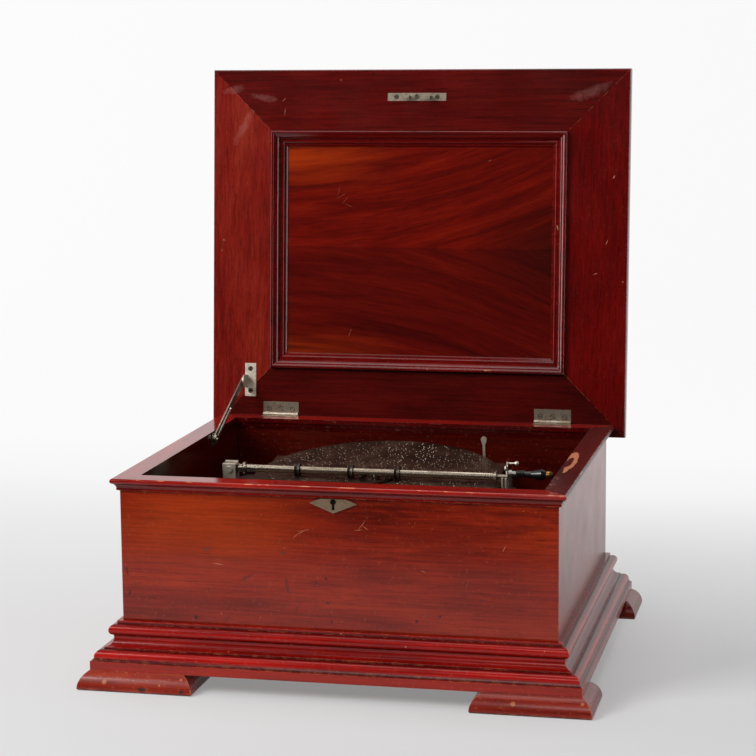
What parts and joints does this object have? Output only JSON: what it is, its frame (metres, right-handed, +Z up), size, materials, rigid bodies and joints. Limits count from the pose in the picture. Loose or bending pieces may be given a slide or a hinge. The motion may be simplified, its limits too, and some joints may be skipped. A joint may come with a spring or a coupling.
{
  "type": "disc music box",
  "caption": "Table-top disc music box: moulded wooden case with a framed lid on a stay, and a disc movement with pressure bar, star wheels, comb, spring drive and winding crank.",
  "frame": {"origin": "on the floor, under the middle of the outline with the lid open", "axes": "+Z up, -Y front, +X to the right"},
  "size_m": [0.5862, 0.5371, 0.6856],
  "materials": {
    "mahogany": "glossy varnish",
    "flamed_mahogany": "glossy varnish",
    "deal": "bare",
    "black_casting": "black paint",
    "disc_steel": "worn",
    "ebonised_wood": "polished",
    "brass": "aged",
    "steel": "satin",
    "nickel": "aged nickel plate"
  },
  "bodies": {
    "case": {"front_wall": "mahogany", "rim_front": "mahogany", "base_front": "mahogany", "back_wall": "mahogany", "rim_back": "mahogany", "base_back": "mahogany", "left_wall": "mahogany", "rim_left": "mahogany", "base_left": "mahogany", "right_wall": "mahogany", "rim_right": "mahogany", "base_right": "mahogany", "bottom_board": "deal", "foot_front_left": "mahogany", "foot_rear_left": "mahogany", "foot_front_right": "mahogany", "foot_rear_right": "mahogany", "case_hinge_left": "nickel", "case_hinge_right": "nickel", "case_screws": "nickel", "stay_stud": "nickel", "lock_case": "steel", "escutcheon": "nickel", "bedplate": "black_casting", "bearer_left": "deal", "bearer_right": "deal", "lower_plate": "black_casting", "comb": "steel", "bar_post_left": "nickel", "bar_post_right": "nickel", "start_pin": "steel"},
    "lid": {"lid_front_rail": "mahogany", "lid_rear_rail": "mahogany", "lid_left_stile": "mahogany", "lid_right_stile": "mahogany", "lid_panel": "flamed_mahogany", "lid_moulding": "mahogany", "lid_hinge_left": "nickel", "lid_hinge_right": "nickel", "lid_screws": "nickel", "strike_plate": "nickel", "stay_bracket": "nickel"},
    "stay": {"stay_arm": "nickel"},
    "bolt": {"lock_bolt": "steel"},
    "disc_drive": {"disc": "disc_steel", "disc_arbor": "steel"},
    "stars": {"star_wheels": "brass"},
    "barrel": {"spring_barrel": "brass"},
    "train": {"train_wheel": "brass"},
    "fan": {"governor": "steel"},
    "arbor": {"barrel_arbor": "steel"},
    "winding": {"winding_shaft": "steel", "crank_cap": "brass"},
    "grip": {"crank_grip": "ebonised_wood"},
    "bar": {"pressure_bar": "nickel"},
    "roller_a": {"roller_left": "nickel"},
    "roller_b": {"roller_middle": "nickel"},
    "roller_c": {"roller_right": "nickel"},
    "latch": {"bar_latch": "nickel"},
    "start": {"start_lever": "nickel"}
  },
  "joints": [
    {"name": "lid_hinge", "type": "hinge", "parent": "case", "child": "lid", "pos_m": [0, 0.21129, 0.2387], "axis": [-1, 0, 0], "range_deg": [-94.5, 0]},
    {"name": "stay_swing", "type": "hinge", "parent": "lid", "child": "stay", "pos_m": [-0.2289, 0.2052, 0.28231], "axis": [-1, 0, 0], "range_deg": [0, 117]},
    {"name": "lock_bolt_slide", "type": "slide", "parent": "case", "child": "bolt", "axis": [1, 0, 0], "range_m": [0, 0.007]},
    {"name": "disc_spin", "type": "hinge", "parent": "case", "child": "disc_drive", "pos_m": [-0.004, -0.00161, 0.2009], "axis": [0, -0.1253, 0.9921], "continuous": true},
    {"name": "star_spin", "type": "hinge", "parent": "case", "child": "stars", "pos_m": [-0.004, -0.00023, 0.18999], "axis": [1, 0, 0], "continuous": true},
    {"name": "barrel_spin", "type": "hinge", "parent": "case", "child": "barrel", "pos_m": [0.04292, -0.0016, 0.12026], "axis": [0, -0.1253, 0.9921], "continuous": true},
    {"name": "train_spin", "type": "hinge", "parent": "case", "child": "train", "pos_m": [0.06392, 0.03198, 0.14467], "axis": [0, -0.1253, 0.9921], "continuous": true},
    {"name": "governor_spin", "type": "hinge", "parent": "case", "child": "fan", "pos_m": [0.07393, 0.04916, 0.14684], "axis": [0, -0.1253, 0.9921], "continuous": true},
    {"name": "crank_turn", "type": "hinge", "parent": "case", "child": "winding", "pos_m": [0.1604, -0.00561, 0.15201], "axis": [1, 0, 0], "continuous": true},
    {"name": "arbor_turn", "type": "hinge", "parent": "case", "child": "arbor", "pos_m": [0.04292, -0.00448, 0.14308], "axis": [0, -0.1253, 0.9921], "continuous": true},
    {"name": "grip_spin", "type": "hinge", "parent": "winding", "child": "grip", "pos_m": [0.1724, -0.01363, 0.21551], "axis": [1, 0, 0], "continuous": true},
    {"name": "bar_lift", "type": "hinge", "parent": "case", "child": "bar", "pos_m": [-0.1856, -0.00266, 0.20923], "axis": [0, -0.9921, -0.1253], "range_deg": [0, 60]},
    {"name": "roller_left_spin", "type": "hinge", "parent": "bar", "child": "roller_a", "pos_m": [-0.1006, -0.00266, 0.20923], "axis": [1, 0, 0], "continuous": true},
    {"name": "roller_middle_spin", "type": "hinge", "parent": "bar", "child": "roller_b", "pos_m": [-0.0345, -0.00266, 0.20923], "axis": [1, 0, 0], "continuous": true},
    {"name": "roller_right_spin", "type": "hinge", "parent": "bar", "child": "roller_c", "pos_m": [0.0229, -0.00266, 0.20923], "axis": [1, 0, 0], "continuous": true},
    {"name": "latch_turn", "type": "hinge", "parent": "case", "child": "latch", "pos_m": [0.1533, 0.00919, 0.19521], "axis": [1, 0, 0], "range_deg": [0, 22]},
    {"name": "start_lever_tilt", "type": "hinge", "parent": "case", "child": "start", "pos_m": [0.108, 0.11585, 0.20062], "axis": [0, 0.9921, 0.1253], "range_deg": [0, 15]}
  ],
  "couplings": [
    {"joint": "stay_swing", "follows": "lid_hinge", "ratio": -1.2354},
    {"joint": "star_spin", "follows": "disc_spin", "ratio": 10.8},
    {"joint": "barrel_spin", "follows": "disc_spin", "ratio": -0.33333},
    {"joint": "train_spin", "follows": "disc_spin", "ratio": 2},
    {"joint": "governor_spin", "follows": "disc_spin", "ratio": -6},
    {"joint": "arbor_turn", "follows": "crank_turn", "ratio": 0.375},
    {"joint": "roller_left_spin", "follows": "disc_spin", "ratio": -11.926},
    {"joint": "roller_middle_spin", "follows": "disc_spin", "ratio": -3.7654},
    {"joint": "roller_right_spin", "follows": "disc_spin", "ratio": 3.321}
  ]
}
